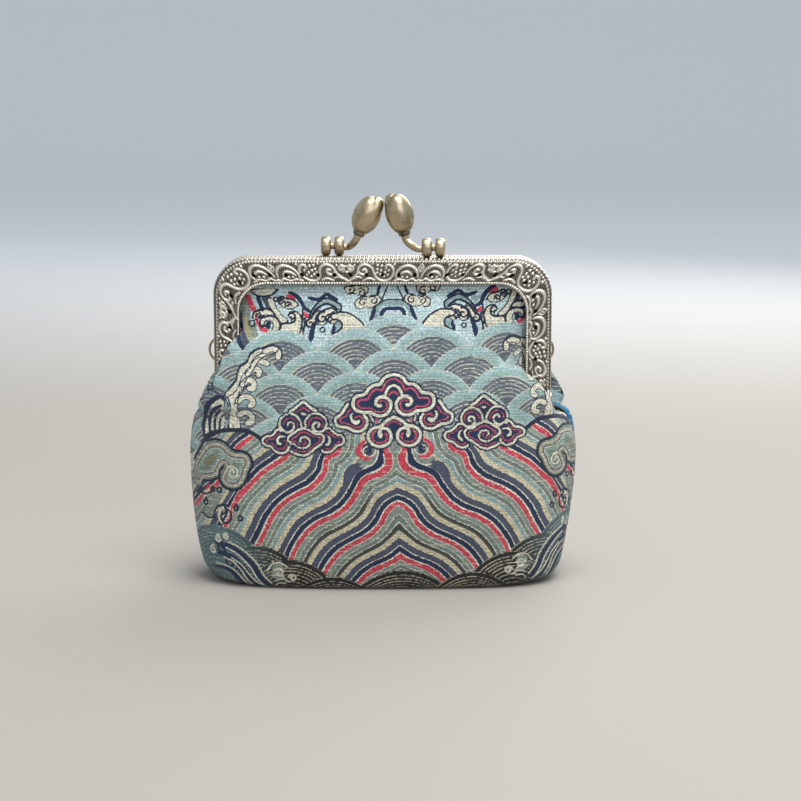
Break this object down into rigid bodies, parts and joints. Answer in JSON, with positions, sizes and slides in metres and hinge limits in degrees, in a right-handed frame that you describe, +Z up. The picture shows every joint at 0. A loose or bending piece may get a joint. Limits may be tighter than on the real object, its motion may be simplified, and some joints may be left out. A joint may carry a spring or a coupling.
{
  "type": "kiss-lock coin purse",
  "caption": "Small pouch-shaped coin purse of woven brocade, held in an embossed metal snap frame with a bud-shaped clasp and side loops.",
  "frame": {"origin": "middle of the flat base, on the surface that the purse stands on", "axes": "+X along the snap frame to the right as seen from the front, -Y to the front, +Z up"},
  "size_m": [0.099, 0.04, 0.0983],
  "materials": {
    "brocade": "jacquard-woven brocade with waves, clouds and striped cliffs",
    "antique_silver": "cast relief, darkened in its recesses",
    "antique_brass": "satin, aged"
  },
  "bodies": {
    "root": {"front_panel": "brocade", "back_panel": "brocade", "front_frame": "antique_silver", "back_frame": "antique_silver", "left_hinge_rivet": "antique_silver", "right_hinge_rivet": "antique_silver", "left_side_loop": "antique_brass", "right_side_loop": "antique_brass", "left_clasp_arm": "antique_brass", "right_clasp_arm": "antique_brass", "left_clasp_bud": "antique_brass", "right_clasp_bud": "antique_brass"}
  },
  "joints": []
}
